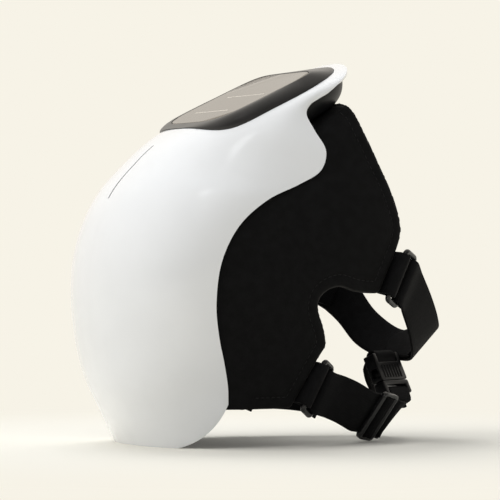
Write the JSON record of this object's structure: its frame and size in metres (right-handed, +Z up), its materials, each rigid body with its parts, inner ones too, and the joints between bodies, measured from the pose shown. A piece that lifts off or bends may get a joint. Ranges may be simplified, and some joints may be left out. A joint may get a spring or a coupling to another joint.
{
  "type": "knee massager",
  "caption": "Knee massager: glossy curved shell with a tilted control pod over a soft wrap with side wings, closed behind the knee by ringed straps, a slider and a clip buckle.",
  "frame": {"origin": "middle of the whole part on the surface it stands on", "axes": "-X towards the front of the knee, +X towards the hollow of the knee, +Y towards the wearer's right, +Z up the leg"},
  "size_m": [0.2312, 0.1562, 0.232],
  "materials": {
    "black_plastic": "satin",
    "board_green": "satin",
    "cell_foil": "satin",
    "film_amber": "satin",
    "gloss_white": "high gloss",
    "neoprene": "knit-faced neoprene",
    "panel_glass": "high gloss",
    "pod_charcoal": "satin",
    "rubber": "soft",
    "satin_black": "satin",
    "steel": "satin",
    "webbing": "woven"
  },
  "bodies": {
    "massager": {"front_shell": "gloss_white", "wrap_body": "neoprene", "inner_housing": "satin_black", "control_pod": "pod_charcoal", "touch_panel": "panel_glass", "pod_chassis": "black_plastic", "chassis_screw_1": "steel", "chassis_screw_2": "steel", "chassis_screw_3": "steel", "chassis_screw_4": "steel", "main_board": "board_green", "battery": "cell_foil", "air_pump": "steel", "air_valve": "black_plastic", "light_bar": "black_plastic", "motor_cradle": "black_plastic", "left_motor": "steel", "right_motor": "steel", "front_air_bag": "rubber", "left_air_bag": "rubber", "right_air_bag": "rubber", "heating_film": "film_amber", "inner_lining": "neoprene", "upper_strap": "webbing", "upper_strap_tail": "webbing", "lower_left_strap": "webbing", "lower_right_strap": "webbing", "buckle_socket": "black_plastic"},
    "left_wing_body": {"left_wing": "neoprene", "left_upper_tab": "webbing", "left_lower_tab": "webbing"},
    "left_upper_ring_body": {"left_upper_ring": "black_plastic"},
    "left_lower_ring_body": {"left_lower_ring": "black_plastic"},
    "right_wing_body": {"right_wing": "neoprene", "right_upper_tab": "webbing", "right_lower_tab": "webbing"},
    "right_upper_ring_body": {"right_upper_ring": "black_plastic"},
    "right_lower_ring_body": {"right_lower_ring": "black_plastic"},
    "slider_body": {"strap_slider": "black_plastic"},
    "plug_body": {"buckle_plug": "black_plastic"},
    "left_prong_body": {"left_prong": "black_plastic"},
    "right_prong_body": {"right_prong": "black_plastic"},
    "left_motor_weight_body": {"left_motor_weight": "steel"},
    "right_motor_weight_body": {"right_motor_weight": "steel"}
  },
  "joints": [
    {"name": "left_wing_flex", "type": "hinge", "parent": "massager", "child": "left_wing_body", "pos_m": [-0.00364, -0.0795, 0.1135], "axis": [-0.3617, 0, -0.9323], "range_deg": [0, 15], "stiffness_Nm_per_rad": 0.35, "deforming": ["upper_strap", "lower_left_strap"]},
    {"name": "right_wing_flex", "type": "hinge", "parent": "massager", "child": "right_wing_body", "pos_m": [-0.00364, 0.0795, 0.1135], "axis": [0.3617, 0, 0.9323], "range_deg": [0, 15], "stiffness_Nm_per_rad": 0.35, "deforming": ["upper_strap", "lower_right_strap"]},
    {"name": "left_upper_ring_swing", "type": "hinge", "parent": "left_wing_body", "child": "left_upper_ring_body", "pos_m": [0.05847, -0.06649, 0.10198], "axis": [0.4137, 0, 0.9104], "range_deg": [-10, 10], "deforming": ["upper_strap"]},
    {"name": "left_lower_ring_swing", "type": "hinge", "parent": "left_wing_body", "child": "left_lower_ring_body", "pos_m": [0.00397, -0.06401, 0.03645], "axis": [0.4671, 0, 0.8842], "range_deg": [-10, 10], "deforming": ["lower_left_strap"]},
    {"name": "right_upper_ring_swing", "type": "hinge", "parent": "right_wing_body", "child": "right_upper_ring_body", "pos_m": [0.05847, 0.06649, 0.10198], "axis": [0.4137, 0, 0.9104], "range_deg": [-10, 10], "deforming": ["upper_strap"]},
    {"name": "right_lower_ring_swing", "type": "hinge", "parent": "right_wing_body", "child": "right_lower_ring_body", "pos_m": [0.00397, 0.06401, 0.03645], "axis": [0.4671, 0, 0.8842], "range_deg": [-10, 10], "deforming": ["lower_right_strap"]},
    {"name": "strap_adjust", "type": "slide", "parent": "massager", "child": "slider_body", "axis": [0.8348, 0.5292, -0.152], "range_m": [-0.012, 0.001], "deforming": ["lower_left_strap"]},
    {"name": "buckle_unclip", "type": "slide", "parent": "massager", "child": "plug_body", "axis": [0.2013, -0.3724, -0.906], "range_m": [0, 0.014], "deforming": ["lower_left_strap"]},
    {"name": "left_prong_squeeze", "type": "hinge", "parent": "plug_body", "child": "left_prong_body", "pos_m": [0.06947, -0.02578, 0.03598], "axis": [-0.4268, 0.7991, -0.4234], "range_deg": [0, 7], "stiffness_Nm_per_rad": 0.02},
    {"name": "right_prong_squeeze", "type": "hinge", "parent": "plug_body", "child": "right_prong_body", "pos_m": [0.08473, -0.01762, 0.03602], "axis": [0.4268, -0.7991, 0.4234], "range_deg": [0, 7], "stiffness_Nm_per_rad": 0.02},
    {"name": "left_motor_spin", "type": "hinge", "parent": "massager", "child": "left_motor_weight_body", "pos_m": [-0.10543, -0.019, 0.09701], "axis": [0, 0, 1], "continuous": true},
    {"name": "right_motor_spin", "type": "hinge", "parent": "massager", "child": "right_motor_weight_body", "pos_m": [-0.10543, 0.019, 0.09701], "axis": [0, 0, 1], "continuous": true}
  ]
}
